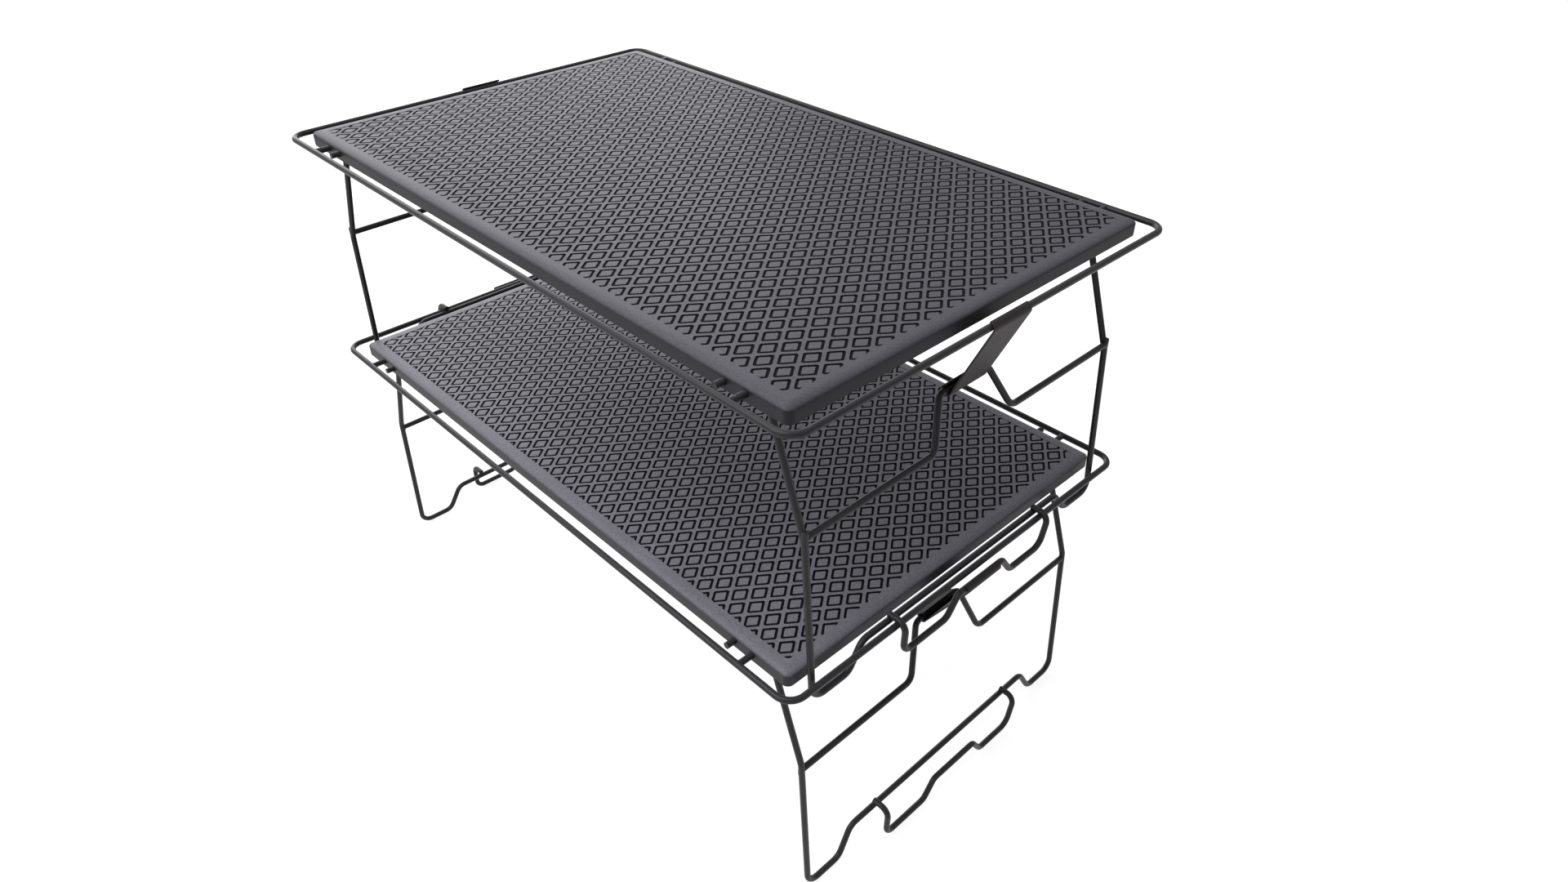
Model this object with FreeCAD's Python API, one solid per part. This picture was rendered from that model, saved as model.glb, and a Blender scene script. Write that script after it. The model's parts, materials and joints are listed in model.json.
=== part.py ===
import FreeCAD, Part
import math
import os
from FreeCAD import Vector

# Two-tier stacking cooling rack.  Units are millimetres, +Z is up, +X is the long direction,
# and the origin is on the floor under the centre of the rack.
# Every tier is the same set of pieces.  A tier is drawn about its own datum: the centre of its
# ring wire is at z = 0.  The leg frames are bent and welded by hand, so a few of their heights
# differ by some millimetres from tier to tier.

WIRE_D = 3.2              # every bent wire
WIRE_R = WIRE_D / 2
RUN_GAP = 0.3             # free gap between pieces that move apart

# ring wire (centre line)
RING_X = 200.0
RING_Y = 121.8
RING_BEND_R = 8.5

# tray panel (outer faces)
TRAY_X = 190.3
TRAY_Y = 113.5
TRAY_TOP = 3.8
TRAY_BOTTOM = -4.0
TRAY_CORNER_R = 2.5
TRAY_EDGE_R = 1.8
SHEET = 0.9
RIM_W = 6.9               # flat rim around the patterned field
FIELD_DROP = 0.6          # field below the rim

# support rods, and hinge pins of the legs
ROD_X = 168.0
ROD_HOLE_R = WIRE_R + 0.05
WELD_SINK = 0.4           # how deep a welded end sits in its neighbour
PIN_X = 156.3
PIN_END_Y = 118.2
PIN_HOLE_R = WIRE_R + 0.08

# leg frame (centre line)
LEG_Y = 104.8
LEG_STOP_X = 170.2        # bend that bears on the support rod from below
LEG_STOP_Z = -4.5
KNEE_X = 190.5
KNEE_Z = -62.5
FOOT_X = 196.5
FOOT_INNER_Y = 82.5
RAIL_Y = 73.0             # end of the raised middle run of the bottom wire

# crossbar with its raised middle
HAT_BASE_Y = 27.0
HAT_TOP_Y = 16.6
HAT_TOP_X = 182.2
HAT_TOP_Z = -38.0

# stacking hook; its back arm leans in, its front arm is upright
HOOK_X = 204.9
HOOK_START_X = 195.0
BRIDGE_RISE = WIRE_D - 0.2                  # the hook's ends lie on the rail
FRONT_ARM_Y, FRONT_FOOT_Y = -54.7, -55.0
BACK_ARM_Y, BACK_FOOT_Y = 54.0, 49.5
HOOK_STEP_Y = 24.5
KEEPER_Y = 16.8           # raised middle run, the keeper for the latch below

# heights below the tier's ring wire
HEIGHTS = {
    "lower": {"bar": -66.0, "rail": -136.0, "foot": -152.0, "keeper": -140.8, "hook": -151.6},
    "upper": {"bar": -60.0, "rail": -135.2, "foot": -147.8, "keeper": -138.5, "hook": -149.2}}

# latch plate
LATCH_W = 25.0
LATCH_T = 0.9
CURL_R = WIRE_R + RUN_GAP + LATCH_T / 2     # mid-sheet radius of both curls
LIP_ANGLE = 160.0
LIP_LENGTH = 3.2
CLIP_ANGLE = 118.0

# height of each ring wire: the lower feet are on the floor, the upper hooks on the lower ring
LOWER_Z = WIRE_R - HEIGHTS["lower"]["foot"]
UPPER_Z = LOWER_Z + WIRE_D + RUN_GAP - HEIGHTS["upper"]["rail"] - BRIDGE_RISE


# ---------------------------------------------------------------- helpers
def rounded_path(points, radii):
    """Straight runs joined by tangent arcs; radii are for the inner points."""
    edges = []
    here = points[0]
    for before, corner, after, radius in zip(points, points[1:], points[2:], radii):
        u = (before - corner).normalize()
        v = (after - corner).normalize()
        half = u.getAngle(v) / 2
        reach = radius / math.tan(half)
        start, end = corner + u * reach, corner + v * reach
        centre = corner + (u + v).normalize() * (radius / math.sin(half))
        middle = centre + (corner - centre).normalize() * radius
        if (start - here).Length > 1e-6:
            edges.append(Part.LineSegment(here, start).toShape())
        edges.append(Part.Arc(start, middle, end).toShape())
        here = end
    edges.append(Part.LineSegment(here, points[-1]).toShape())
    return Part.Wire(edges)


def bent_wire(points, radii):
    """Round wire along a rounded path."""
    path = rounded_path(points, radii)
    direction = points[1] - points[0]
    section = Part.Wire([Part.makeCircle(WIRE_R, points[0], direction)])
    solid = path.makePipeShell([section], True, True)
    ideal = math.pi * WIRE_R ** 2 * path.Length
    assert solid.isValid() and abs(solid.Volume / ideal - 1) < 0.01
    return solid


def mirror_y(points):
    """Complete a symmetric path that was given from its -Y end to the middle."""
    return points + [Vector(p.x, -p.y, p.z) for p in reversed(points)]


def mirror_x(shape):
    return shape.mirror(Vector(0, 0, 0), Vector(1, 0, 0))


def rod_along_y(x, y0, y1, radius):
    return Part.makeCylinder(radius, y1 - y0, Vector(x, y0, 0), Vector(0, 1, 0))


def block(x, y, z0, z1):
    return Part.makeBox(2 * x, 2 * y, z1 - z0, Vector(-x, -y, z0))


def vertical_edges(shape):
    found = []
    for edge in shape.Edges:
        a, b = edge.Vertexes[0].Point, edge.Vertexes[-1].Point
        if abs(a.x - b.x) < 1e-6 and abs(a.y - b.y) < 1e-6 and abs(a.z - b.z) > 1e-6:
            found.append(edge)
    return found


# ---------------------------------------------------------------- pieces, right-hand side at +X
def tray_panel():
    """Formed sheet: flat rim, sunk field, short skirt with the rod and pin holes."""
    outer = block(TRAY_X, TRAY_Y, TRAY_BOTTOM, TRAY_TOP)
    outer = outer.makeFillet(TRAY_CORNER_R, vertical_edges(outer))
    rim_edges = [e for e in outer.Edges if e.BoundBox.ZMin > TRAY_TOP - 1e-3]
    outer = outer.makeFillet(TRAY_EDGE_R, rim_edges)

    field_x, field_y = TRAY_X - RIM_W, TRAY_Y - RIM_W
    field_top = TRAY_TOP - FIELD_DROP
    inside = block(TRAY_X - SHEET, TRAY_Y - SHEET, TRAY_BOTTOM - 1, TRAY_TOP - SHEET)
    inside = inside.makeFillet(TRAY_CORNER_R - SHEET, vertical_edges(inside))
    under_field = block(field_x + SHEET, field_y + SHEET, field_top - SHEET, TRAY_TOP)
    sunk_field = block(field_x, field_y, field_top, TRAY_TOP + 1)
    sunk_field = sunk_field.makeFillet(2.0, vertical_edges(sunk_field))
    tray = outer.cut(inside.cut(under_field)).cut(sunk_field)
    for side in (-1, 1):
        tray = tray.cut(rod_along_y(side * ROD_X, -TRAY_Y - 1, TRAY_Y + 1, ROD_HOLE_R))
        tray = tray.cut(rod_along_y(side * PIN_X, -TRAY_Y - 1, TRAY_Y + 1, PIN_HOLE_R))
    return tray


def ring_wire():
    half = [Vector(0, -RING_Y, 0), Vector(RING_X, -RING_Y, 0),
            Vector(RING_X, RING_Y, 0), Vector(0, RING_Y, 0)]
    right = bent_wire(half, [RING_BEND_R, RING_BEND_R])
    return right.fuse(mirror_x(right)).removeSplitter()


def support_rod():
    end = RING_Y - WIRE_R + WELD_SINK
    return rod_along_y(ROD_X, -end, end, WIRE_R)


def leg_frame(heights):
    """One wire: hinge pin, leg, foot, raised rail, foot, leg, hinge pin."""
    foot_z, rail_z = heights["foot"], heights["rail"]
    rail_x = KNEE_X + (FOOT_X - KNEE_X) * (rail_z - KNEE_Z) / (foot_z - KNEE_Z)
    points = mirror_y([
        Vector(PIN_X, -PIN_END_Y, 0),
        Vector(PIN_X, -LEG_Y, 0),
        Vector(LEG_STOP_X, -LEG_Y, LEG_STOP_Z),
        Vector(KNEE_X, -LEG_Y, KNEE_Z),
        Vector(FOOT_X, -LEG_Y, foot_z),
        Vector(FOOT_X, -FOOT_INNER_Y, foot_z),
        Vector(rail_x, -RAIL_Y, rail_z)])
    radii = [4.0, 5.0, 9.0, 7.0, 7.0, 7.0]
    return bent_wire(points, radii + radii[::-1])


def crossbar(heights):
    """Bar between the knees; its raised middle carries the latch plate."""
    points = mirror_y([
        Vector(KNEE_X, -LEG_Y + WIRE_R - WELD_SINK, heights["bar"]),
        Vector(KNEE_X, -HAT_BASE_Y, heights["bar"]),
        Vector(HAT_TOP_X, -HAT_TOP_Y, HAT_TOP_Z)])
    return bent_wire(points, [6.0, 4.0, 4.0, 6.0])


def stacking_hook(heights):
    """Wire welded on the rail: over the ring of the tier below, down, and along its outside."""
    bridge, low, keeper = heights["rail"] + BRIDGE_RISE, heights["hook"], heights["keeper"]
    points = [
        Vector(HOOK_START_X, FRONT_ARM_Y, bridge),
        Vector(HOOK_X, FRONT_ARM_Y, bridge),
        Vector(HOOK_X, FRONT_FOOT_Y, low),
        Vector(HOOK_X, -HOOK_STEP_Y, low),
        Vector(HOOK_X, -KEEPER_Y, keeper),
        Vector(HOOK_X, KEEPER_Y, keeper),
        Vector(HOOK_X, HOOK_STEP_Y, low),
        Vector(HOOK_X, BACK_FOOT_Y, low),
        Vector(HOOK_X, BACK_ARM_Y, bridge),
        Vector(HOOK_START_X, BACK_ARM_Y, bridge)]
    return bent_wire(points, [5.0, 5.0, 5.0, 4.0, 4.0, 5.0, 7.0, 5.0])


def latch_plate(tip_x, tip_z):
    """Sheet strip: closed curl on the crossbar's raised wire, open clip curl at the tip."""
    length = math.hypot(tip_x - HAT_TOP_X, tip_z - HAT_TOP_Z)
    along = Vector((tip_x - HAT_TOP_X) / length, 0, (tip_z - HAT_TOP_Z) / length)
    outward = Vector(along.z, 0, -along.x)
    pivot = Vector(HAT_TOP_X, -LATCH_W / 2, HAT_TOP_Z)
    tip = pivot + along * length

    def around(centre, radius, angle):
        a = math.radians(angle)
        return centre + outward * (radius * math.cos(a)) + along * (radius * math.sin(a))

    lip = math.radians(LIP_ANGLE)
    lip_run = (outward * math.sin(lip) - along * math.cos(lip)) * LIP_LENGTH

    def side(radius):
        """Edge line of the strip, from the lip's end to the clip's end."""
        lip_start = around(pivot, radius, LIP_ANGLE)
        curl_middle = around(pivot, radius, (LIP_ANGLE + 360) / 2)
        curl_end, clip_start = around(pivot, radius, 0), around(tip, radius, 0)
        clip_middle, clip_end = around(tip, radius, CLIP_ANGLE / 2), around(tip, radius, CLIP_ANGLE)
        curves = [Part.LineSegment(lip_start + lip_run, lip_start),
                  Part.Arc(lip_start, curl_middle, curl_end),
                  Part.LineSegment(curl_end, clip_start),
                  Part.Arc(clip_start, clip_middle, clip_end)]
        return [curve.toShape() for curve in curves], lip_start + lip_run, clip_end

    outer, outer_lip, outer_clip = side(CURL_R + LATCH_T / 2)
    inner, inner_lip, inner_clip = side(CURL_R - LATCH_T / 2)
    caps = [Part.LineSegment(outer_clip, inner_clip).toShape(),
            Part.LineSegment(inner_lip, outer_lip).toShape()]
    outline = Part.Wire(Part.sortEdges(outer + inner + caps)[0])
    return Part.Face(outline).extrude(Vector(0, LATCH_W, 0))


# ---------------------------------------------------------------- assembly
def build_tier(prefix, height, latch_tip):
    heights = HEIGHTS[prefix]
    pieces = {"tray_panel": tray_panel(), "ring_wire": ring_wire()}
    sided = {
        "support_rod": support_rod(),
        "leg_frame": leg_frame(heights),
        "crossbar": crossbar(heights),
        "stacking_hook": stacking_hook(heights),
        "latch_plate": latch_plate(*latch_tip)}
    for name, shape in sided.items():
        pieces[name + "_right"] = shape
        pieces[name + "_left"] = mirror_x(shape)
    for name, shape in pieces.items():
        placed = shape.copy()
        placed.translate(Vector(0, 0, height))
        assert placed.isValid() and len(placed.Solids) == 1
        placed.exportStep("parts/" + prefix + "_" + name + ".step")


os.makedirs("parts", exist_ok=True)
# The lower latches grip the keeper wire of the hooks above; the upper ones grip their own ring.
keeper_above = (HOOK_X, UPPER_Z + HEIGHTS["upper"]["keeper"] - LOWER_Z)
build_tier("lower", LOWER_Z, keeper_above)
build_tier("upper", UPPER_Z, (RING_X, 0.0))
print("lower ring z", round(LOWER_Z, 3), "upper ring z", round(UPPER_Z, 3), "keeper", keeper_above)
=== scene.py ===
# %% [markdown]
# # A stacking cooling rack
#
# The rack is two tiers of the same pieces.  Each tier is an embossed sheet-metal tray held in a
# ring of round wire, on two bent-wire leg frames.  The frames are bent by hand, so their heights
# differ a little from tier to tier.  The engineering model gives every wire at its real size and
# place.  This lesson keeps those wires, presses the real diamond pattern into the trays, rolls
# the latch strips, adds the welds and finishes everything with procedural materials.

# %% Load the frame
import json
import math

import bmesh
import bpy
from mathutils import Matrix, Vector


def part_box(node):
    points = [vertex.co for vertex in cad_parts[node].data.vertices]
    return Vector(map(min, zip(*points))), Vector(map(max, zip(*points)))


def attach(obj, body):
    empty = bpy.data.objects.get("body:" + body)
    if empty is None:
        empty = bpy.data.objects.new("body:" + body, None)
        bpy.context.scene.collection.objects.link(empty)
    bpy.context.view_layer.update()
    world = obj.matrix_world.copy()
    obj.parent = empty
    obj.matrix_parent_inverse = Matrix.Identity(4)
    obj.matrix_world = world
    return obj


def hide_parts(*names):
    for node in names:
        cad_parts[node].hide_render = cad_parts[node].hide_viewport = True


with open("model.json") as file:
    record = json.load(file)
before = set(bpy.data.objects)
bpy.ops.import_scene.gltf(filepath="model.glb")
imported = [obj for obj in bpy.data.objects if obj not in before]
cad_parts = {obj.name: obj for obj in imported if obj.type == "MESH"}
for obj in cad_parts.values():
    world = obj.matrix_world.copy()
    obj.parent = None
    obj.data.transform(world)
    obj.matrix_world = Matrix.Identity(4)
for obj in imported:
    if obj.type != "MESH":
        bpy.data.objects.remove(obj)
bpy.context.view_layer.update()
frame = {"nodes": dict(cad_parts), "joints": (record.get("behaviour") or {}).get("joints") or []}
MM = 0.001

# %% [markdown]
# ## The viewpoint
#
# A product like this is usually shown from above one corner, so that both trays and one end frame
# are seen at once.  A camera in Blender looks along its own -Z, so tilting it by 90 degrees minus
# the downward pitch, then turning it about the vertical, aims it at the rack.

# %% Camera
VIEW_PITCH = 35.962       # degrees down from level
VIEW_TURN = 46.087        # degrees round from looking along +Y
VIEW_PLACE = (0.40724, -0.32458, 0.49952)   # metres
LENS_MM = 24.394
SENSOR_MM = 36.0

camera = bpy.data.objects.new("camera", bpy.data.cameras.new("camera"))
camera.data.lens = LENS_MM
camera.data.sensor_width = SENSOR_MM
camera.location = VIEW_PLACE
camera.rotation_euler = (math.radians(90 - VIEW_PITCH), 0, math.radians(VIEW_TURN))
bpy.context.scene.collection.objects.link(camera)
bpy.context.scene.camera = camera
print("camera", tuple(round(v, 3) for v in camera.location))

# %% [markdown]
# ## A small language for materials
#
# Node trees are maths on pictures.  Wiring them one link at a time hides the idea, so one small
# class wraps a socket and gives it the ordinary operators.  `0.5 + speck` or `1 - mask` then adds
# a Math node by itself.


# %% The Flow class
class Flow:
    """A value, vector or colour inside one material, on which Python operators add nodes."""

    def __init__(self, tree, socket):
        self.tree = tree
        self.socket = socket

    def node(self, kind, settings=None, inputs=None, output=0):
        """Add any node: settings first, because they decide its sockets, then what feeds it."""
        made = self.tree.nodes.new(kind)
        for name, value in (settings or {}).items():
            setattr(made, name, value)
        for name, value in (inputs or {}).items():
            if isinstance(value, Flow):
                self.tree.links.new(value.socket, made.inputs[name])
            else:
                made.inputs[name].default_value = value
        return Flow(self.tree, made.outputs[output])

    def maths(self, operation, other):
        return self.node("ShaderNodeMath", {"operation": operation}, {0: self, 1: other})

    def __add__(self, other):
        return self.maths("ADD", other)

    def __sub__(self, other):
        return self.maths("SUBTRACT", other)

    def __rsub__(self, other):
        return self.node("ShaderNodeMath", {"operation": "SUBTRACT"}, {0: other, 1: self})

    def __mul__(self, other):
        return self.maths("MULTIPLY", other)

    __radd__ = __add__
    __rmul__ = __mul__

    def clipped(self, low, high):
        """Stretch the span from low to high over 0 to 1, and hold the ends."""
        return self.node("ShaderNodeMapRange", {"clamp": True},
                         {"Value": self, "From Min": low, "From Max": high})

    def between(self, colour_a, colour_b):
        """The mix of two colours that this value chooses."""
        return self.node("ShaderNodeMix", {"data_type": "RGBA"},
                         {0: self, 6: colour_a, 7: colour_b}, output=2)


print("Flow is ready")

# %% [markdown]
# ## Starting a material
#
# Every finish here begins the same way: a Principled shader and a coordinate measured in metres.
# Object coordinates are used, because every piece's origin is the frame's origin, so a grain of
# half a millimetre is the same size on a tray as on a wire.


# %% A helper that starts a material
def start_material(name, constants):
    """A material with one Principled shader; returns it, its coordinate and a feed function."""
    made = bpy.data.materials.new(name)
    made.use_nodes = True
    tree = made.node_tree
    tree.nodes.clear()
    shader = tree.nodes.new("ShaderNodeBsdfPrincipled")
    output = tree.nodes.new("ShaderNodeOutputMaterial")
    tree.links.new(shader.outputs["BSDF"], output.inputs["Surface"])
    for socket, value in constants.items():
        shader.inputs[socket].default_value = value
    place = Flow(tree, None).node("ShaderNodeTexCoord", output=3)

    def feed(socket, flow):
        tree.links.new(flow.socket, shader.inputs[socket])

    return made, place, feed


def noise(place, size_mm, detail=2.0, roughness=0.5):
    """Soft noise whose blotches are about size_mm across, from 0 to 1."""
    return place.node("ShaderNodeTexNoise", {"noise_dimensions": "3D"},
                      {"Vector": place, "Scale": 1000.0 / size_mm, "Detail": detail,
                       "Roughness": roughness})


def bump(height, depth_mm, strength=1.0):
    return height.node("ShaderNodeBump", None,
                       {"Height": height, "Distance": depth_mm * MM, "Strength": strength})


print("material helpers are ready")

# %% [markdown]
# ## The non-stick coating
#
# The whole rack is dipped and baked in one dark non-stick coating.  It is charcoal with a trace
# of violet, satin rather than shiny, and slightly pebbled because the coating shrinks as it
# cures.  The tops are painted paler than the sides, as painted light and shade: the upward part
# of the surface normal chooses between a lit colour and a shaded colour, and fine noise speckles
# the choice.  Grooves are painted darker, as painted shade.


# %% One recipe for coated steel
CLOUD_MM = 42.0           # size of the broad, faint differences in the coat


def shade(red, green, blue):
    return (red, green, blue, 1)


def coated_steel(name, painted_side_shade, lit_top_colour, gloss, roughness, grain_mm, grain_depth_mm, groove_shade=None):
    """Charcoal coating: a painted shaded colour for the sides, a lit colour for the tops, its gloss
    and roughness, and the size of its pebbled grain.
    """
    made, place, feed = start_material(name, {"IOR": 1.5, "Specular IOR Level": gloss})
    cloud = noise(place, CLOUD_MM, 3.0)
    speck = noise(place, grain_mm * 2.0, 2.0, 0.65)
    grain = noise(place, grain_mm, 2.0, 0.6)

    normal = place.node("ShaderNodeNewGeometry", output=1)
    upward = place.node("ShaderNodeSeparateXYZ", None, {0: normal}, output=2)
    # painted light and shade: tops, whose normals point up, take the lit colour and sides the dark
    # shaded colour
    lit_share = upward.clipped(-0.1, 0.95) * (0.86 + 0.28 * cloud)
    speckled_lit_share = (lit_share * (0.5 + speck)).clipped(0.0, 1.2)
    colour = speckled_lit_share.between(painted_side_shade, lit_top_colour)
    rough = roughness + (cloud - 0.5) * 0.10 + (speck - 0.5) * 0.10
    # painted shade: the deeper a point lies in a groove, the darker its colour
    if groove_shade:
        groove = place.node("ShaderNodeAttribute", {"attribute_name": "groove"}, output=2)
        deep = groove.clipped(0.12, 0.52)
        colour = deep.between(colour, groove_shade)
        rough = rough + deep * 0.35
        # a dark metallic groove floor reflects little, which deepens the painted groove shade
        feed("Metallic", deep * 0.85)   # takes the pale sheen off the groove floor
    feed("Roughness", rough)
    feed("Base Color", colour)
    feed("Normal", bump(grain + 0.6 * noise(place, grain_mm * 4.0), grain_depth_mm, 0.6))
    print("material", name)
    return made


print("the recipe is ready")

# %% [markdown]
# ## Five finishes from one recipe
#
# The finishes differ only in their numbers.  The lower tray is painted paler, as painted light,
# because it lies in the shade of the upper tray.  Latches are matt and slightly brown, and welds
# have a coarser grain than the wires that they join.

# %% Mix the finishes
# painted shade: the dark colours that the recipe gives to the sides, against each finish's lit top
# colour
PAINTED_SIDE_SHADE_TRAY = shade(0.0085, 0.0082, 0.0095)
PAINTED_SIDE_SHADE_WIRE = shade(0.0105, 0.0102, 0.0112)
# painted shade for the grooves
PAINTED_GROOVE_SHADE = shade(0.014, 0.0132, 0.0150)

tray_coats = {
    "upper": coated_steel("upper_tray_nonstick", PAINTED_SIDE_SHADE_TRAY, shade(0.098, 0.094, 0.113),
                          gloss=0.13, roughness=0.46, grain_mm=0.50, grain_depth_mm=0.060,
                          groove_shade=PAINTED_GROOVE_SHADE),
    # painted light: the lower tray's top colour is about twice the upper one's, to brighten it in
    # the upper tray's shade
    "lower": coated_steel("lower_tray_nonstick", PAINTED_SIDE_SHADE_TRAY, shade(0.195, 0.188, 0.221),
                          gloss=0.16, roughness=0.46, grain_mm=0.50, grain_depth_mm=0.060,
                          groove_shade=PAINTED_GROOVE_SHADE)}
wire_coat = coated_steel("wire_nonstick", PAINTED_SIDE_SHADE_WIRE, shade(0.038, 0.0365, 0.042),
                         gloss=0.22, roughness=0.38, grain_mm=0.45, grain_depth_mm=0.050)
latch_coat = coated_steel("latch_nonstick", shade(0.024, 0.0195, 0.0195),
                          shade(0.034, 0.028, 0.029),
                          gloss=0.16, roughness=0.52, grain_mm=0.40, grain_depth_mm=0.020)
weld_coat = coated_steel("weld_nonstick", PAINTED_SIDE_SHADE_WIRE, shade(0.034, 0.033, 0.037),
                         gloss=0.24, roughness=0.46, grain_mm=0.70, grain_depth_mm=0.060)

# %% [markdown]
# ## The wires keep their engineering shape
#
# Ring wires, support rods, leg frames, crossbars and stacking hooks are exact in the engineering
# model, down to each bend radius.  They only need their finish.

# %% Dress the wires
TIERS = ("lower", "upper")
SIDES = (("left", -1), ("right", 1))
for node in frame["nodes"].values():
    node.data.materials.clear()
    node.data.materials.append(wire_coat)
print("dressed", len(frame["nodes"]), "nodes")

# %% [markdown]
# ## The embossed pattern, one cell at a time
#
# The tray field is pressed with rows of diamonds.  Ribs cross at a slant and leave a rhombus
# between them.  Inside each rhombus a groove runs round an island as high as the ribs, so that
# air passes under a cake.  A displacement map would need millions of faces to keep the
# groove crisp.  A better way is to model one rhombus cell and repeat it, because cells
# that share their four corners join into one closed sheet.

# %% Pattern sizes, in millimetres
CELL_X = 10.85            # width of a rhombus cell, along the long side of the tray
CELL_Y = 14.30            # its height, across the tray
SIDE_DISTANCE = CELL_X * CELL_Y / 2 / math.hypot(CELL_X, CELL_Y)
NORMAL_ANGLE = math.degrees(math.atan2(CELL_X, CELL_Y))
FIELD_DROP = 0.16         # ribs below the rim
# each ring of the cell: distance in from the middle of the rib, depth below the rib, corner radius
TOP_RINGS = ((0.78, 0.00, 0.86), (0.88, 0.36, 0.80), (1.02, 0.44, 0.72), (1.58, 0.44, 0.58),
             (1.86, 0.26, 0.50), (2.08, 0.01, 0.46))
UNDER_RINGS = ((1.5, 0.0, 1.2), (2.4, 0.45, 0.8))
UNDER_FLAT = 2.05         # underside of the ribs, above the ring wire's centre
CELL_MERGE = 0.01         # corners of neighbouring cells closer than this become one
EDGE_MERGE = 0.02         # the same along the cut edge
SHEET_MERGE = 0.002       # the same between finished parts of a tray
print("rib pitch", round(2 * SIDE_DISTANCE, 2), "mm")


# %% [markdown]
# ## The outline of a pocket
#
# A rounded rhombus is a smaller rhombus grown by a circle.  So each corner is an arc about a
# corner of the smaller rhombus, and the straight sides come by joining the arcs.


# %% Rounded rhombus
def rhombus_ring(inset, depth, radius, steps):
    """Points of one ring, anticlockwise from the right corner's lower end; steps per corner."""
    core = (SIDE_DISTANCE - inset - radius) / SIDE_DISTANCE
    points = []
    for corner in range(4):
        sideways = corner % 2 == 0
        reach = core * (CELL_X if sideways else CELL_Y) / 2
        facing = 90.0 * corner
        centre = Vector((reach * math.cos(math.radians(facing)),
                         reach * math.sin(math.radians(facing))))
        spread = NORMAL_ANGLE if sideways else 90.0 - NORMAL_ANGLE
        count = steps[corner % 2]
        for k in range(count + 1):
            angle = math.radians(facing - spread + 2 * spread * k / count)
            points.append((centre.x + radius * math.cos(angle),
                           centre.y + radius * math.sin(angle), -depth))
    return points


def pressed_cell(rings, steps):
    """Vertices and faces of a cell, its four corners first, seen from above."""
    corners = [(CELL_X / 2, 0, 0), (0, CELL_Y / 2, 0), (-CELL_X / 2, 0, 0), (0, -CELL_Y / 2, 0)]
    points = list(corners)
    faces = []
    per_ring = 2 * (steps[0] + 1) + 2 * (steps[1] + 1)
    for inset, depth, radius in rings:
        points += rhombus_ring(inset, depth, radius, steps)
    place = 4
    for corner in range(4):
        count = steps[corner % 2]
        for k in range(count):
            faces.append((corner, place + k + 1, place + k))
        following = 4 + (place - 4 + count + 1) % per_ring
        faces.append((corner, (corner + 1) % 4, following, place + count))
        place += count + 1
    for ring in range(len(rings) - 1):
        start = 4 + ring * per_ring
        for k in range(per_ring):
            after = (k + 1) % per_ring
            faces.append((start + k, start + after,
                          start + per_ring + after, start + per_ring + k))
    last = 4 + (len(rings) - 1) * per_ring
    faces.append(tuple(range(last, last + per_ring)))
    return points, faces


top_cell = pressed_cell(TOP_RINGS, (2, 2))
under_cell = pressed_cell(UNDER_RINGS, (1, 1))
plain_cell = (top_cell[0][:4], [(0, 1, 2, 3)])
print("faces in a cell", len(top_cell[1]), "above and", len(under_cell[1]), "below")


# %% [markdown]
# ## From one cell to a trimmed field
#
# The cells are laid out past the edge of the field, then cut off along its outline, just as the
# real press cuts its outermost diamonds.  The outline is a rounded rectangle.  It is convex, so
# cutting once along each of its sides is enough.


# %% Lay and trim the field
CORNER_STEPS = 6


def rounded_rectangle(half_x, half_y, radius, z, steps=CORNER_STEPS):
    """Points anticlockwise; each corner is an arc of steps + 1 points."""
    points = []
    for corner, (sx, sy) in enumerate(((1, 1), (-1, 1), (-1, -1), (1, -1))):
        for k in range(steps + 1):
            angle = math.radians(90 * (corner + k / steps))
            points.append(Vector((sx * (half_x - radius) + radius * math.cos(angle),
                                  sy * (half_y - radius) + radius * math.sin(angle), z)))
    return points


def lay_cells(mesh, half_x, half_y, phase, height, choose, flip):
    """Repeat cells over the field; choose(x, y) returns the cell for a place."""
    step_x, step_y = CELL_X / 2, CELL_Y / 2
    first_x = math.floor((-half_x - phase[0]) / step_x) - 2
    last_x = math.ceil((half_x - phase[0]) / step_x) + 2
    first_y = math.floor((-half_y - phase[1]) / step_y) - 2
    last_y = math.ceil((half_y - phase[1]) / step_y) + 2
    for i in range(first_x, last_x + 1):
        for j in range(first_y, last_y + 1):
            x, y = phase[0] + i * step_x, phase[1] + j * step_y
            outside = abs(x) > half_x + step_x or abs(y) > half_y + step_y
            if (i + j) % 2 or outside:
                continue
            points, faces = choose(x, y)
            made = [mesh.verts.new((x + px, y + py, height + (-pz if flip else pz)))
                    for px, py, pz in points]
            for face in faces:
                corners = [made[k] for k in face]
                mesh.faces.new(corners[::-1] if flip else corners)


def trim(mesh, outline):
    """Cut away everything outside a convex outline."""
    near = 1.5 * CELL_Y
    half_x = max(p.x for p in outline)
    half_y = max(p.y for p in outline)
    for a, b in zip(outline, outline[1:] + outline[:1]):
        if (b - a).length < 1e-6:
            continue
        outward = (b - a).cross(Vector((0, 0, 1))).normalized()
        edge_band = [v for v in mesh.verts
                     if (abs(v.co.x) > half_x - near or abs(v.co.y) > half_y - near)
                     and (v.co - a).dot(outward) > -near]
        faces = list({f for v in edge_band for f in v.link_faces})
        edges = list({e for f in faces for e in f.edges})
        verts = list({v for f in faces for v in f.verts})
        bmesh.ops.bisect_plane(mesh, geom=verts + edges + faces, dist=1e-5, plane_co=a,
                               plane_no=outward, clear_outer=True)


def open_edges(mesh):
    return [e for e in mesh.edges if len(e.link_faces) == 1]


def open_verts(mesh):
    return list({v for e in open_edges(mesh) for v in e.verts})


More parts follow.
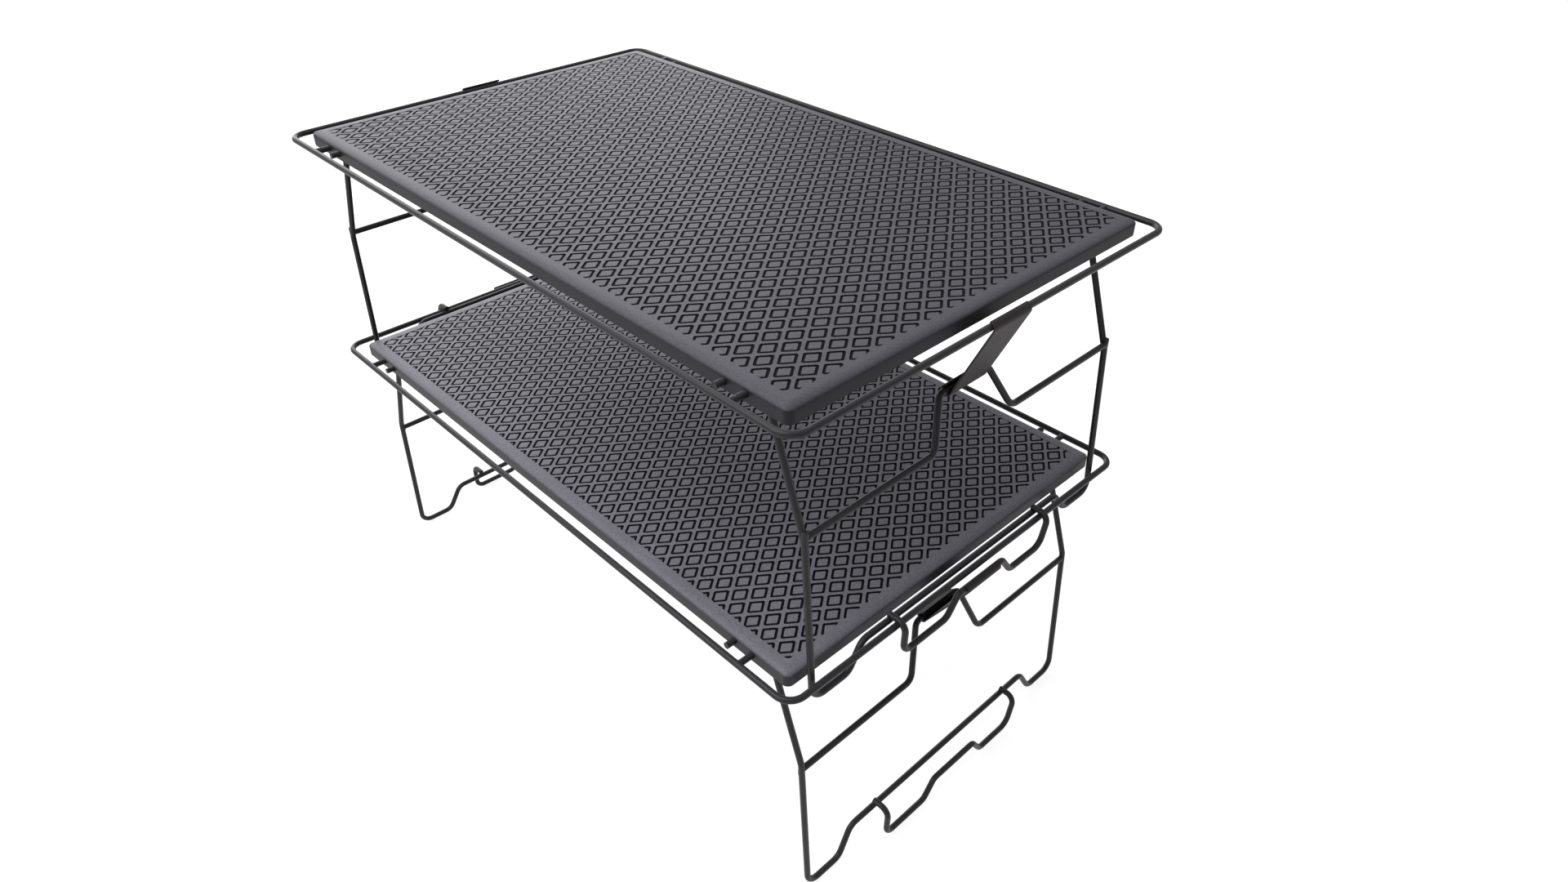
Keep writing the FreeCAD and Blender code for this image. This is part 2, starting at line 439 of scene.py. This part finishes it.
def pressed_sheet(extent, phase, height, choose, flip):
    """An open sheet of cells, trimmed to (half_x, half_y, corner radius)."""
    mesh = bmesh.new()
    lay_cells(mesh, extent[0], extent[1], phase, height, choose, flip)
    bmesh.ops.remove_doubles(mesh, verts=mesh.verts[:], dist=CELL_MERGE)
    trim(mesh, rounded_rectangle(*extent, 0.0))
    bmesh.ops.remove_doubles(mesh, verts=open_verts(mesh), dist=EDGE_MERGE)
    return mesh


print("field helpers are ready")


# %% [markdown]
# ## The rim and skirt
#
# Outside the field the sheet rises to a flat rim, rolls over a soft edge and drops into a skirt.
# The rim is drawn as a stack of rounded rectangles joined like the hoops of a barrel.  The
# support rods and the hinge pins pass through the long skirts, so those two walls are filled
# around their holes, and a short tunnel joins the outer and inner wall.

# %% Tray sizes, in millimetres
SHEET = 0.9
RIM_WIDTH = 6.9
ROLL_WIDTH = 4.4          # the rolled edge is an ellipse, wider than it is tall
ROLL_DROP = 1.95
CORNER_RADIUS = 3.4
SMALLEST_CORNER = 0.3
FIELD_CORNER = 2.2
LIP = 0.08                # small rounding where the rim meets the field
HEM = 0.3                 # rounding of the skirt's lower edge
HOLE_RADIUS = {"support_rod": 1.66, "leg_pin": 1.70}
HOLE_STEPS = 24
WIRE_RADIUS = 1.6
print("rim", RIM_WIDTH, "mm")


# %% [markdown]
# ## Hoops and pierced walls
#
# Hoops all have the same number of points, so two of them join with plain quads.  A wall with
# holes is one flat region bounded by several closed loops, and Blender's triangle fill closes it.


# %% Build hoops, walls with holes, and the tunnels between them
# the quad of a hoop that lies along the long side, for the +Y and -Y sides
LONG_SIDES = {1: CORNER_STEPS, -1: 3 * CORNER_STEPS + 2}


def hoop(mesh, half_x, half_y, radius, z):
    return [mesh.verts.new(p) for p in rounded_rectangle(half_x, half_y, radius, z)]


def join_hoops(mesh, lower, upper, skip=()):
    """Quads between two hoops with the same number of points; skip names long sides left open."""
    count = len(lower)
    for k in range(count):
        if k in skip:
            continue
        after = (k + 1) % count
        mesh.faces.new((lower[k], lower[after], upper[after], upper[k]))


def loop_edges(mesh, loop):
    return [mesh.edges.get((a, b)) or mesh.edges.new((a, b))
            for a, b in zip(loop, loop[1:] + loop[:1])]


def fill_flat(mesh, edges, normal):
    """Triangles over the flat region that the edges bound, facing along the normal."""
    made = bmesh.ops.triangle_fill(mesh, edges=edges, use_beauty=True, normal=normal)
    for face in [f for f in made["geom"] if isinstance(f, bmesh.types.BMFace)]:
        if face.normal.dot(Vector(normal)) < 0:
            face.normal_flip()


def hole_ring(mesh, x, y, radius):
    ring = []
    for k in range(HOLE_STEPS):
        angle = 2 * math.pi * k / HOLE_STEPS
        ring.append(mesh.verts.new((x + radius * math.cos(angle), y, radius * math.sin(angle))))
    return ring


def skirt_holes(mesh, side, outer, inner, holes):
    """Close both faces of a long skirt round its holes; outer and inner list a wall's corners."""
    outer_y, inner_y = outer[0].co.y, inner[0].co.y
    outer_rings = [hole_ring(mesh, x, outer_y, radius) for x, radius in holes]
    inner_rings = [hole_ring(mesh, x, inner_y, radius) for x, radius in holes]
    for wall, rings, facing in ((outer, outer_rings, side), (inner, inner_rings, -side)):
        edges = [e for loop in [wall] + rings for e in loop_edges(mesh, loop)]
        fill_flat(mesh, edges, (0, facing, 0))
    for a, b in zip(outer_rings, inner_rings):
        for k in range(HOLE_STEPS):
            after = (k + 1) % HOLE_STEPS
            corners = (a[k], a[after], b[after], b[k])
            mesh.faces.new(corners if side < 0 else corners[::-1])


print("rim helpers are ready")


# %% [markdown]
# ## From the field up to the rim and down to the hem
#
# The cut edge of the field is pulled up to the height of the rim, with a tiny rounding.  The rim
# and the roll are hoops.  The skirt hangs from the last of them: outer wall, hem, inner wall, and
# a shoulder that follows the roll on the inside.


# %% Rim, roll and skirt
ROLL_STEPS = 6
SHOULDER_STEPS = 3


def outward_from(point, half_x, half_y, radius):
    """Direction that leads straight out of a rounded rectangle at a point of its outline."""
    dx = max(abs(point.x) - (half_x - radius), 0.0)
    dy = max(abs(point.y) - (half_y - radius), 0.0)
    if dx > 1e-4 and dy > 1e-4:
        way = Vector((math.copysign(dx, point.x), math.copysign(dy, point.y), 0))
    elif abs(point.x) - half_x > abs(point.y) - half_y:
        way = Vector((math.copysign(1, point.x), 0, 0))
    else:
        way = Vector((0, math.copysign(1, point.y), 0))
    return way.normalized()


def pull_edges(mesh, edges):
    """Extrude edges; returns the new vertices and the new edges."""
    made = bmesh.ops.extrude_edge_only(mesh, edges=edges)["geom"]
    return ([g for g in made if isinstance(g, bmesh.types.BMVert)],
            [g for g in made if isinstance(g, bmesh.types.BMEdge)])


def grow_edge(mesh, extent, top):
    """Raise the trimmed field's edge into the rim; returns the edges of its upper line."""
    verts, edges = pull_edges(mesh, open_edges(mesh))
    for v in verts:
        v.co.z = top - LIP
    verts, edges = pull_edges(mesh, edges)
    for v in verts:
        v.co += outward_from(v.co, *extent) * LIP
        v.co.z = top
    return edges


def rolled_edge(mesh, half_x, half_y, top):
    """Hoops from the flat rim round the roll to the top of the skirt."""
    rolls = []
    for k in range(ROLL_STEPS + 1):
        angle = math.radians(90 - 90 / ROLL_STEPS * k)
        inset = ROLL_WIDTH * (1 - math.cos(angle))
        drop = ROLL_DROP * (1 - math.sin(angle))
        corner = max(CORNER_RADIUS - inset, SMALLEST_CORNER)
        rolls.append(hoop(mesh, half_x - inset, half_y - inset, corner, top - drop))
    return rolls


def hang_skirt(mesh, half_x, half_y, bottom, top, roll_end, holes):
    """Walls, hem and holes below the roll; returns the innermost hoop, under the rim."""
    foot = hoop(mesh, half_x, half_y, CORNER_RADIUS, bottom + HEM)
    join_hoops(mesh, foot, roll_end, skip=LONG_SIDES.values())
    hem = hoop(mesh, half_x - HEM, half_y - HEM, CORNER_RADIUS - HEM, bottom)
    join_hoops(mesh, hem, foot)
    inner = (half_x - SHEET, half_y - SHEET, CORNER_RADIUS - SHEET)
    inner_hem = hoop(mesh, *inner, bottom)
    join_hoops(mesh, inner_hem, hem)
    inner_top = hoop(mesh, *inner, top - ROLL_DROP)
    join_hoops(mesh, inner_top, inner_hem, skip=LONG_SIDES.values())
    shoulder = []
    for k in range(SHOULDER_STEPS + 1):
        angle = math.radians(90 / SHOULDER_STEPS * k)
        inset = (ROLL_WIDTH - SHEET) * (1 - math.cos(angle))
        rise = (ROLL_DROP - SHEET) * math.sin(angle)
        corner = max(inner[2] - inset, SMALLEST_CORNER)
        shoulder.append(hoop(mesh, inner[0] - inset, inner[1] - inset, corner,
                             top - ROLL_DROP + rise))
    join_hoops(mesh, shoulder[0], inner_top)
    for a, b in zip(shoulder, shoulder[1:]):
        join_hoops(mesh, b, a)
    for side, start in LONG_SIDES.items():
        after = start + 1
        skirt_holes(mesh, side,
                    [foot[start], foot[after], roll_end[after], roll_end[start]],
                    [inner_hem[start], inner_hem[after], inner_top[after], inner_top[start]],
                    holes)
    return shoulder[-1]


print("rim and skirt builders are ready")

# %% [markdown]
# ## One whole tray
#
# The field, the rim, the skirt and the underside meet at shared vertices, so the tray is a single
# closed sheet.  The underside follows the pockets only roughly, because a press spreads the metal
# on the far side.  The depth of every vertex below the ribs is stored on the mesh as an attribute
# named `groove`, which the coating reads.


# %% Assemble a tray
def close_underside(above, below, rim_under, shoulder_end):
    """Bring the underside into the tray and join it to the shoulder under the rim."""
    verts, _ = pull_edges(below, open_edges(below))
    for v in verts:
        v.co.z = rim_under
    copied = bpy.data.meshes.new("below")
    below.to_mesh(copied)
    below.free()
    above.from_mesh(copied)
    bpy.data.meshes.remove(copied)
    inner_line = [e for e in open_edges(above)
                  if abs(e.verts[0].co.z - rim_under) < 1e-4 and e.verts[0] not in shoulder_end]
    fill_flat(above, inner_line + loop_edges(above, shoulder_end), (0, 0, -1))
    bmesh.ops.remove_doubles(above, verts=above.verts[:], dist=SHEET_MERGE)


# the coating reads this depth to paint shade into the grooves
def mark_grooves(mesh, field, rib_top):
    """Store each upper vertex's depth below the ribs, from 0 to 1."""
    margin = 0.1
    deepest = TOP_RINGS[2][1]
    groove = mesh.verts.layers.float.new("groove")
    for v in mesh.verts:
        on_field = abs(v.co.x) < field[0] + margin and abs(v.co.y) < field[1] + margin
        if on_field and v.co.z > UNDER_FLAT + margin:
            v[groove] = min(max((rib_top - v.co.z) / deepest, 0.0), 1.0)


def tray_mesh(low, high, phase, holes):
    """The embossed tray between two corners in millimetres, about the ring wire's centre height."""
    field = (high.x - RIM_WIDTH, high.y - RIM_WIDTH, FIELD_CORNER)
    under = (field[0] + SHEET, field[1] + SHEET, FIELD_CORNER + SHEET)
    rib_top = high.z - FIELD_DROP

    def under_choice(x, y):
        inside = abs(x) < under[0] - CELL_X / 2 and abs(y) < under[1] - CELL_Y / 2
        return under_cell if inside else plain_cell

    tray = pressed_sheet(field, phase, rib_top, lambda x, y: top_cell, flip=False)
    below = pressed_sheet(under, phase, UNDER_FLAT, under_choice, flip=True)
    field_line = grow_edge(tray, field, high.z)
    rolls = rolled_edge(tray, high.x, high.y, high.z)
    fill_flat(tray, field_line + loop_edges(tray, rolls[0]), (0, 0, 1))
    for a, b in zip(rolls, rolls[1:]):
        join_hoops(tray, b, a)
    shoulder_end = hang_skirt(tray, high.x, high.y, low.z, high.z, rolls[-1], holes)
    close_underside(tray, below, high.z - SHEET, shoulder_end)
    mark_grooves(tray, field, rib_top)
    return tray


print("tray builder is ready")


# %% [markdown]
# ## Smooth shading that keeps flats flat
#
# Smooth shading averages the normals at a vertex.  On a flat rim next to a tight roll that would
# bend the light over the whole rim.  The Weighted Normal modifier lets large faces win, so flats
# stay flat and rolls stay round.


# %% Finish a mesh
def evaluated_mesh(thing):
    """A new mesh with the object's modifiers applied."""
    bpy.context.view_layer.update()
    graph = bpy.context.evaluated_depsgraph_get()
    return bpy.data.meshes.new_from_object(thing.evaluated_get(graph))


def finish_mesh(mesh, name, material, sharp=38.0):
    """Turn a bmesh in millimetres into an object in metres with weighted normals."""
    data = bpy.data.meshes.new(name)
    mesh.transform(Matrix.Scale(MM, 4))
    mesh.to_mesh(data)
    mesh.free()
    data.shade_smooth()
    data.set_sharp_from_angle(angle=math.radians(sharp))
    data.materials.append(material)
    made = bpy.data.objects.new(name, data)
    bpy.context.scene.collection.objects.link(made)
    weighted = made.modifiers.new("weighted", "WEIGHTED_NORMAL")
    weighted.keep_sharp = True
    final = evaluated_mesh(made)
    made.modifiers.clear()
    made.data = final
    final.name = name
    return made


print("finish helper is ready")

# %% [markdown]
# ## Press both trays
#
# The press is not lined up with the edge of the sheet, so the pattern starts at a different place
# on each tray.

# %% Make the trays
PATTERN_START = {"upper": (-176.0, -97.3), "lower": (134.2, -102.0)}

for tier in TIERS:
    node = tier + "_tray_panel"
    low, high = (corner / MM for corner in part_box(node))
    ring_low, ring_high = (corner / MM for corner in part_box(tier + "_ring_wire"))
    centre_z = (ring_low.z + ring_high.z) / 2
    rod_low, rod_high = (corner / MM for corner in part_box(tier + "_support_rod_right"))
    rod_x = (rod_low.x + rod_high.x) / 2
    leg_low, _ = (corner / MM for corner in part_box(tier + "_leg_frame_right"))
    pin_x = leg_low.x + WIRE_RADIUS
    holes = []
    for side in (-1, 1):
        holes.append((side * rod_x, HOLE_RADIUS["support_rod"]))
        holes.append((side * pin_x, HOLE_RADIUS["leg_pin"]))
    shift = Vector((0, 0, centre_z))
    pressed = tray_mesh(low - shift, high - shift, PATTERN_START[tier], holes)
    stray = len(open_edges(pressed))
    bmesh.ops.translate(pressed, vec=shift, verts=pressed.verts[:])
    tray = finish_mesh(pressed, tier + "_embossed_tray", tray_coats[tier])
    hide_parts(node)
    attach(tray, "lower_tier" if tier == "lower" else "upper_tier")
    print(tray.name, "faces", len(tray.data.polygons), "open edges", stray,
          "pin x", round(pin_x, 2))

# %% [markdown]
# ## Rolled latch strips
#
# Each latch is a strip of spring steel.  One end is rolled almost shut round the crossbar, as its
# hinge, and the other is a short hook that snaps over a wire.  The strip is swept along its
# middle line with a section whose long edges are rounded, the way a slit and tumbled strip is.

# %% Latch sizes, in millimetres
STRIP_WIDTH = 25.0
STRIP_THICK = 0.9
CURL_RADIUS = 2.35
LIP_ANGLE = 160.0
LIP_LENGTH = 3.2
CLIP_ANGLE = 118.0
ARC_STEP = 8.0
print("strip", STRIP_WIDTH, "by", STRIP_THICK, "mm")


# %% [markdown]
# ## The strip's middle line and section
#
# The middle line starts at the lip of the curl, goes round the crossbar, runs straight up to the
# wire that holds it and bends over that wire.  Each point carries the direction of the strip's
# outer face, so the section can be set square to the line.


# %% Sweep a strip
EDGE_ROUNDING = 0.4       # rounding of the strip's long edges, as a share of its thickness


def strip_line(reach):
    """Middle line of the strip: (outward, along, normal angle), from the lip to the clip's end."""
    line = []
    lip = math.radians(LIP_ANGLE)
    for k in range(3):
        back = LIP_LENGTH * (1 - k / 3)
        line.append((CURL_RADIUS * math.cos(lip) + math.sin(lip) * back,
                     CURL_RADIUS * math.sin(lip) - math.cos(lip) * back, LIP_ANGLE))
    turns = round((360 - LIP_ANGLE) / ARC_STEP)
    for k in range(turns + 1):
        angle = LIP_ANGLE + (360 - LIP_ANGLE) * k / turns
        a = math.radians(angle)
        line.append((CURL_RADIUS * math.cos(a), CURL_RADIUS * math.sin(a), angle))
    for k in range(1, 8):
        line.append((CURL_RADIUS, reach * k / 8, 360.0))
    turns = round(CLIP_ANGLE / ARC_STEP)
    for k in range(turns + 1):
        angle = CLIP_ANGLE * k / turns
        a = math.radians(angle)
        line.append((CURL_RADIUS * math.cos(a), reach + CURL_RADIUS * math.sin(a), angle))
    return line


def strip_section():
    """Rounded rectangle across the strip: (across the width, through the thickness)."""
    radius = EDGE_ROUNDING * STRIP_THICK
    flat = rounded_rectangle(STRIP_WIDTH / 2, STRIP_THICK / 2, radius, 0.0, steps=4)
    return [(p.x, p.y) for p in flat]


def latch_strip(pivot, tip, name):
    """Strip from the pivot wire to the wire that it snaps over; both are (x, z) in millimetres."""
    way = Vector((tip[0] - pivot[0], 0, tip[1] - pivot[1]))
    reach = way.length
    along = way.normalized()
    outward = Vector((along.z, 0, -along.x)) * (1 if tip[0] > 0 else -1)
    mesh = bmesh.new()
    rows = []
    for out, up, normal_angle in strip_line(reach):
        a = math.radians(normal_angle)
        normal = outward * math.cos(a) + along * math.sin(a)
        centre = Vector((pivot[0], 0, pivot[1])) + outward * out + along * up
        rows.append([mesh.verts.new(centre + normal * depth + Vector((0, across, 0)))
                     for across, depth in strip_section()])
    for a, b in zip(rows, rows[1:]):
        for k in range(len(a)):
            after = (k + 1) % len(a)
            mesh.faces.new((a[k], a[after], b[after], b[k]))
    mesh.faces.new(rows[0][::-1])
    mesh.faces.new(rows[-1])
    bmesh.ops.recalc_face_normals(mesh, faces=mesh.faces[:])
    return finish_mesh(mesh, name, latch_coat, sharp=50.0)


# %% [markdown]
# ## Where the latches go
#
# A latch turns about its joint, so the record of the joint gives the middle of the curl.  The
# wire that the upper strips snap over is their own ring.  The lower strips reach up to the
# stacking hook of the tier above.


# %% Make the latches
def joint_place(name):
    return next(j for j in frame["joints"] if j["name"] == name)["pos_m"]


for side_name, side in SIDES:
    ring_low, ring_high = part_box("upper_ring_wire")
    hook_low, hook_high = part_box("upper_stacking_hook_" + side_name)
    wire_radius = (ring_high.z - ring_low.z) / 2 / MM
    ring_wire = (side * (ring_high.x / MM - wire_radius), (ring_high.z + ring_low.z) / 2 / MM)
    hook_x = side * (max(abs(hook_low.x), abs(hook_high.x)) / MM - wire_radius)
    places = {t: joint_place(t + "_latch_open_" + side_name) for t in TIERS}
    pivots = {t: (p[0] / MM, p[2] / MM) for t, p in places.items()}
    # both strips come from the same tool, so the lower one reaches as far as the upper one
    reach = math.dist(pivots["upper"], ring_wire)
    rise = math.sqrt(reach ** 2 - (hook_x - pivots["lower"][0]) ** 2)
    tips = {"upper": ring_wire, "lower": (hook_x, pivots["lower"][1] + rise)}
    for tier in TIERS:
        strip = latch_strip(pivots[tier], tips[tier], tier + "_rolled_latch_" + side_name)
        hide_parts(tier + "_latch_plate_" + side_name)
        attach(strip, tier + "_latch_" + side_name)
        print(strip.name, "reach", round(reach, 2), "mm")

# %% [markdown]
# ## Welds
#
# The wires are resistance-welded: they are pressed together hot, so the metal between them
# swells into a small fillet.  A fillet is what smoothing does to the corner between two crossing
# cylinders.  So each weld starts as two short stubs, is remeshed into one skin and is relaxed.
# The skin sinks into the wires everywhere except in the corner, where it stands proud.

# %% Weld sizes, in millimetres
STUB = 3.4
VOXEL = 0.32
RELAX_STEPS = 6
WELD_SINK = 0.4           # how far one wire is pressed into the other
LAP_SHIFT = 1.4           # from the middle of the rail to the middle of the hook's stub
HOOK_END = 0.5            # the stacking hook starts this far inside the middle of the rail
STUB_SLACK = 0.05         # stubs are this much thinner than the wire, so they hide inside it
print("weld voxel", VOXEL, "mm")


# %% Make one weld between two wires
def stub(mesh, centre, direction, length, radius):
    """A short closed stub of wire centred on a point."""
    turn = direction.to_track_quat("Z", "Y").to_matrix().to_4x4()
    bmesh.ops.create_cone(mesh, cap_ends=True, segments=24, radius1=radius, radius2=radius,
                          depth=length, matrix=Matrix.Translation(centre) @ turn)


def weld_mesh(name, first, second):
    """first and second are (centre, direction, length) in millimetres."""
    mesh = bmesh.new()
    for centre, direction, length in (first, second):
        stub(mesh, Vector(centre), Vector(direction), length, WIRE_RADIUS - STUB_SLACK)
    data = bpy.data.meshes.new(name)
    mesh.to_mesh(data)
    mesh.free()
    made = bpy.data.objects.new(name, data)
    bpy.context.scene.collection.objects.link(made)
    remesh = made.modifiers.new("skin", "REMESH")
    remesh.mode = "VOXEL"
    remesh.voxel_size = VOXEL
    relax = made.modifiers.new("relax", "SMOOTH")
    relax.factor = 0.5
    relax.iterations = RELAX_STEPS
    final = evaluated_mesh(made)
    bpy.data.objects.remove(made)
    return final


ALONG_X, ALONG_Y, ALONG_Z = (1, 0, 0), (0, 1, 0), (0, 0, 1)
tee_on_upright = weld_mesh("tee_on_upright", ((0, 0, 0), ALONG_Z, 2 * STUB),
                           ((0, STUB / 2, 0), ALONG_Y, STUB))
tee_on_ring = weld_mesh("tee_on_ring", ((0, 0, 0), ALONG_X, 2 * STUB),
                        ((0, STUB / 2, 0), ALONG_Y, STUB))
lap_on_rail = weld_mesh("lap_on_rail", ((0, 0, 0), ALONG_Y, 2 * STUB),
                        ((LAP_SHIFT, 0, 2 * WIRE_RADIUS - WELD_SINK / 2), ALONG_X, STUB))
print("weld faces", [len(m.polygons) for m in (tee_on_upright, tee_on_ring, lap_on_rail)])


# %% [markdown]
# ## Where the welds go
#
# Every weld belongs to the body whose wires it joins, so it is found from the boxes of those
# wires and rides with that body.


# %% Place the welds
def weld_group(name, body, places):
    """One object of welds; each place is (mesh, position in mm, x sign, y sign)."""
    group = bmesh.new()
    for source, position, flip_x, flip_y in places:
        part = bmesh.new()
        part.from_mesh(source)
        part.transform(Matrix.Translation(position) @ Matrix.Diagonal((flip_x, flip_y, 1, 1)))
        if flip_x * flip_y < 0:
            bmesh.ops.reverse_faces(part, faces=part.faces[:])
        copied = bpy.data.meshes.new("part")
        part.to_mesh(copied)
        part.free()
        group.from_mesh(copied)
        bpy.data.meshes.remove(copied)
    made = finish_mesh(group, name, weld_coat, sharp=80.0)
    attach(made, body)
    print(made.name, "faces", len(made.data.polygons))


def leg_welds(tier, side_name, side):
    """Crossbar ends on the legs, and stacking hook ends on the rail."""
    bar_low, bar_high = (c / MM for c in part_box(tier + "_crossbar_" + side_name))
    hook_low, hook_high = (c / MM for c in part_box(tier + "_stacking_hook_" + side_name))
    bar_x = side * (max(abs(bar_low.x), abs(bar_high.x)) - WIRE_RADIUS)
    bar_z = bar_low.z + WIRE_RADIUS
    leg_y = bar_high.y + WIRE_RADIUS - WELD_SINK
    rail_x = side * (min(abs(hook_low.x), abs(hook_high.x)) + HOOK_END)
    rail_z = hook_high.z - 3 * WIRE_RADIUS + WELD_SINK / 2
    arm_y = {-1: hook_low.y + WIRE_RADIUS, 1: hook_high.y - WIRE_RADIUS}
    places = []
    for y_side in (-1, 1):
        places.append((tee_on_upright, Vector((bar_x, y_side * leg_y, bar_z)), side, -y_side))
        places.append((lap_on_rail, Vector((rail_x, arm_y[y_side], rail_z)), side, y_side))
    return places


def rod_welds(tier):
    """Support rod ends on the ring wire."""
    ring_low, ring_high = (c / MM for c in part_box(tier + "_ring_wire"))
    places = []
    for side_name, side in SIDES:
        rod_low, rod_high = (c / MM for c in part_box(tier + "_support_rod_" + side_name))
        middle = (rod_low + rod_high) / 2
        for y_side in (-1, 1):
            spot = Vector((middle.x, y_side * (ring_high.y - WIRE_RADIUS), middle.z))
            places.append((tee_on_ring, spot, side, -y_side))
    return places


weld_group("lower_ring_welds", "lower_tier", rod_welds("lower"))
for side_name, side in SIDES:
    weld_group("lower_leg_welds_" + side_name, "lower_legs_" + side_name,
               leg_welds("lower", side_name, side))
upper_places = rod_welds("upper")
for side_name, side in SIDES:
    upper_places += leg_welds("upper", side_name, side)
weld_group("upper_welds", "upper_tier", upper_places)

# %% [markdown]
# ## Studio
#
# The rack stands on a light table, a pale matt surface that glows a little, so it casts almost no
# shadow.  Two soft lights behind the left end, a large one and a weak low one, glance along the
# trays, so the ribs shine there and fade towards the right.  A third hangs high at the front left
# and picks out the rolled front edges.  The right side gets no lamp and the surroundings are
# darker there, which keeps the end skirts and the legs dark.

# %% Floor and lights
FLOOR_HALF = 6.0          # metres
FLOOR_GLOW = 0.86
FLOOR_GAP = 0.0002        # just below the feet, so that the two never share a plane

floor_coat, floor_place, feed_floor = start_material("pale_table", {
    "Roughness": 0.9, "Emission Color": shade(1, 1, 1), "Emission Strength": FLOOR_GLOW})
floor_tone = noise(floor_place, 90.0, 3.0).between(shade(0.26, 0.26, 0.26), shade(0.28, 0.28, 0.28))
feed_floor("Base Color", floor_tone)
floor_mesh = bmesh.new()
bmesh.ops.create_grid(floor_mesh, x_segments=1, y_segments=1, size=FLOOR_HALF / MM)
floor = finish_mesh(floor_mesh, "table_top", floor_coat)
floor.location.z = -FLOOR_GAP


def soft_light(name, place, target, width, height, power):
    lamp = bpy.data.lights.new(name, "AREA")
    lamp.shape = "RECTANGLE"
    lamp.size = width
    lamp.size_y = height
    lamp.energy = power
    made = bpy.data.objects.new(name, lamp)
    made.location = place
    aim = Vector(target) - Vector(place)
    made.rotation_euler = aim.to_track_quat("-Z", "Y").to_euler()
    bpy.context.scene.collection.objects.link(made)
    print(name, power, "W")


soft_light("left_window", (-1.25, 0.40, 0.75), (0, 0, 0.2), width=1.4, height=0.9, power=11.5)
soft_light("low_left", (-1.30, 0.45, 0.40), (0, 0, 0.15), width=1.2, height=0.4, power=2.5)
soft_light("high_front_left", (-0.25, -0.80, 1.20), (0, 0, 0.2),
           width=1.3, height=1.3, power=18.0)

# %% [markdown]
# ## Surroundings
#
# The world is pale behind the rack's left end and darker in front of its right end.  The angle
# between a ray and one fixed direction chooses the tone.

# %% Surroundings
BEHIND_LEFT = (-0.75, 0.60, 0.28)

world = bpy.data.worlds.new("studio")
world.use_nodes = True
backdrop = world.node_tree.nodes["Background"]
ray = Flow(world.node_tree, None).node("ShaderNodeTexCoord", output=0)
behind = ray.node("ShaderNodeVectorMath", {"operation": "DOT_PRODUCT"}, {0: ray, 1: BEHIND_LEFT},
                  output=1)
tone = behind.clipped(-0.7, 0.6).between(shade(0.28, 0.28, 0.29), shade(0.66, 0.66, 0.67))
world.node_tree.links.new(tone.socket, backdrop.inputs["Color"])
backdrop.inputs["Strength"].default_value = 0.85
bpy.context.scene.world = world
bpy.context.scene.view_settings.view_transform = "Standard"   # so that the white table stays white
print("studio is ready")
